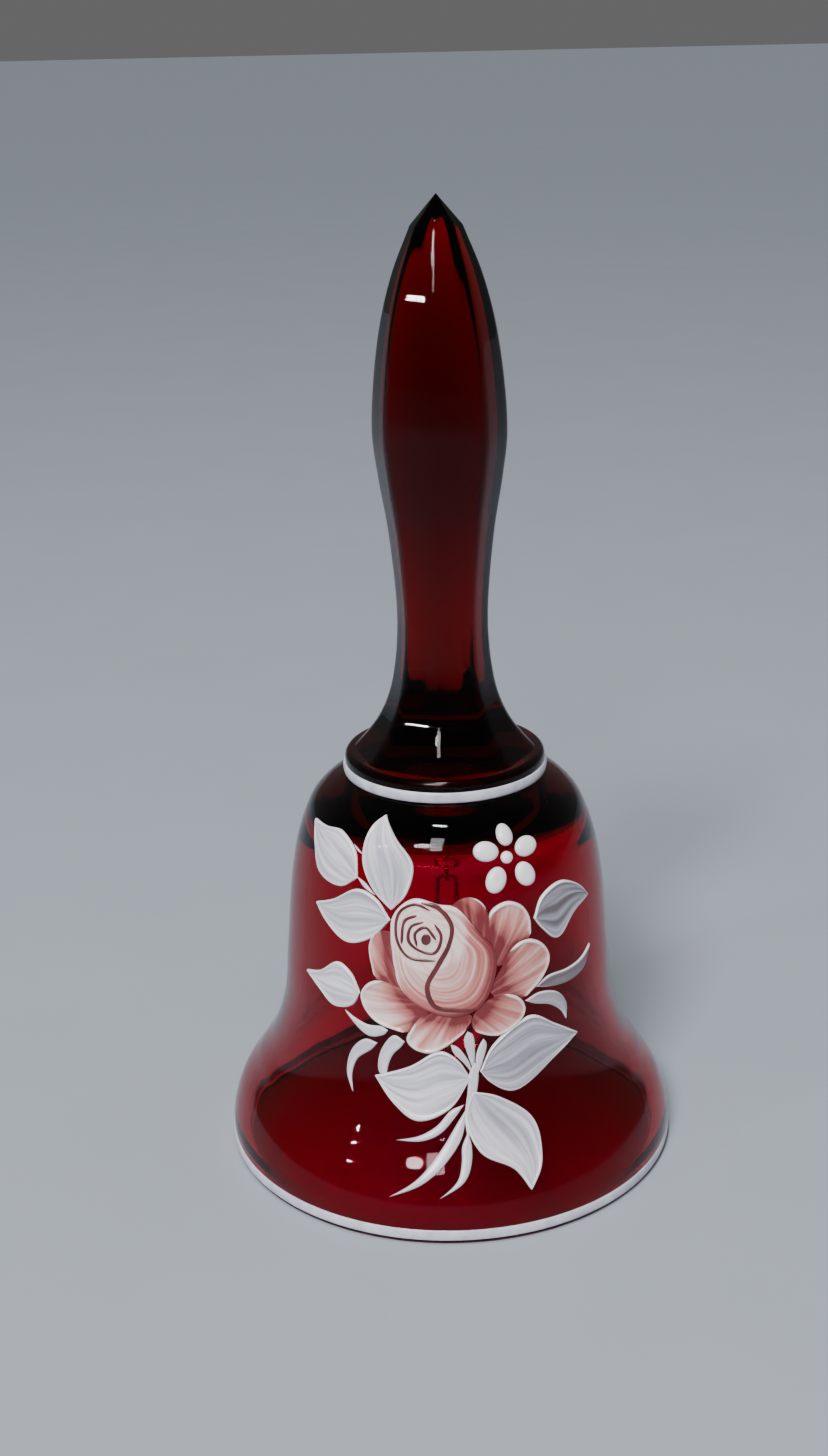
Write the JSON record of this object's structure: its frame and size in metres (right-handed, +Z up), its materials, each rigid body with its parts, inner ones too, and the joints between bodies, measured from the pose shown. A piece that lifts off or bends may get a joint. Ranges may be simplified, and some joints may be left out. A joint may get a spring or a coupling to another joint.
{
  "type": "hand bell",
  "caption": "Ruby glass table bell with a faceted glass handle, a raised enamel rose spray, white enamel bands and a bead clapper hung on a wire chain.",
  "frame": {"origin": "centre of the rim on the surface that the bell stands on", "axes": "+Z up the axis of the bell to the tip of the handle, -Y towards the painted front"},
  "size_m": [0.0797, 0.0796, 0.165],
  "materials": {
    "ruby_glass": "clear, polished",
    "white_enamel": "opaque fired enamel, glossy",
    "leaf_enamel": "opaque fired enamel with brush streaks",
    "stem_enamel": "opaque fired enamel",
    "pink_enamel": "opaque fired enamel, shaded pink to white",
    "dark_enamel": "opaque fired enamel line",
    "nickel_wire": "drawn wire, plated",
    "cement": "cast adhesive",
    "clear_glass": "clear, polished"
  },
  "bodies": {
    "bell": {"bell_bowl": "ruby_glass", "blossom_centre": "white_enamel", "blossom_lower_left": "white_enamel", "blossom_lower_right": "white_enamel", "blossom_top": "white_enamel", "blossom_upper_left": "white_enamel", "blossom_upper_right": "white_enamel", "crown_cement": "cement", "handle": "ruby_glass", "hanger_eye": "nickel_wire", "leaf_bottom": "leaf_enamel", "leaf_high_left": "leaf_enamel", "leaf_low_left": "leaf_enamel", "leaf_low_right": "leaf_enamel", "leaf_mid_left": "leaf_enamel", "leaf_right": "leaf_enamel", "leaf_small_left": "leaf_enamel", "leaf_top": "leaf_enamel", "line_fold": "dark_enamel", "line_inner": "dark_enamel", "line_outer": "dark_enamel", "line_second": "dark_enamel", "line_third": "dark_enamel", "neck_band": "white_enamel", "petal_bottom": "pink_enamel", "petal_left": "pink_enamel", "petal_lower_left": "pink_enamel", "petal_lower_right": "pink_enamel", "petal_right": "pink_enamel", "petal_top": "pink_enamel", "petal_upper_right": "pink_enamel", "rim_band": "white_enamel", "rose_bud": "pink_enamel", "rose_eye": "dark_enamel", "stem_left": "stem_enamel", "stem_main": "stem_enamel", "stem_middle": "stem_enamel", "stem_right": "stem_enamel", "tendril_left_high": "stem_enamel", "tendril_left_hook": "stem_enamel", "tendril_left_low": "stem_enamel", "tendril_low_left": "stem_enamel", "tendril_low_middle": "stem_enamel", "tendril_low_right": "stem_enamel", "tendril_right_high": "stem_enamel", "tendril_right_low": "stem_enamel", "twig_high": "stem_enamel", "twig_middle": "stem_enamel"},
    "link_1": {"chain_link_1": "nickel_wire"},
    "link_2": {"chain_link_2": "nickel_wire"},
    "link_3": {"chain_link_3": "nickel_wire"},
    "link_4": {"chain_link_4": "nickel_wire"},
    "link_5": {"chain_link_5": "nickel_wire"},
    "clapper": {"clapper_wire": "nickel_wire", "clapper_bead": "clear_glass"}
  },
  "joints": [
    {"name": "link_1_swing", "type": "hinge", "parent": "bell", "child": "link_1", "pos_m": [0, 0, 0.0575], "axis": [0, 1, 0], "range_deg": [-12, 12]},
    {"name": "link_2_swing", "type": "hinge", "parent": "link_1", "child": "link_2", "pos_m": [0, 0, 0.05205], "axis": [1, 0, 0], "range_deg": [-12, 12]},
    {"name": "link_3_swing", "type": "hinge", "parent": "link_2", "child": "link_3", "pos_m": [0, 0, 0.0466], "axis": [0, 1, 0], "range_deg": [-12, 12]},
    {"name": "link_4_swing", "type": "hinge", "parent": "link_3", "child": "link_4", "pos_m": [0, 0, 0.04115], "axis": [1, 0, 0], "range_deg": [-12, 12]},
    {"name": "link_5_swing", "type": "hinge", "parent": "link_4", "child": "link_5", "pos_m": [0, 0, 0.0357], "axis": [0, 1, 0], "range_deg": [-12, 12]},
    {"name": "clapper_swing", "type": "hinge", "parent": "link_5", "child": "clapper", "pos_m": [0, 0, 0.03025], "axis": [1, 0, 0], "range_deg": [-12, 12]}
  ]
}
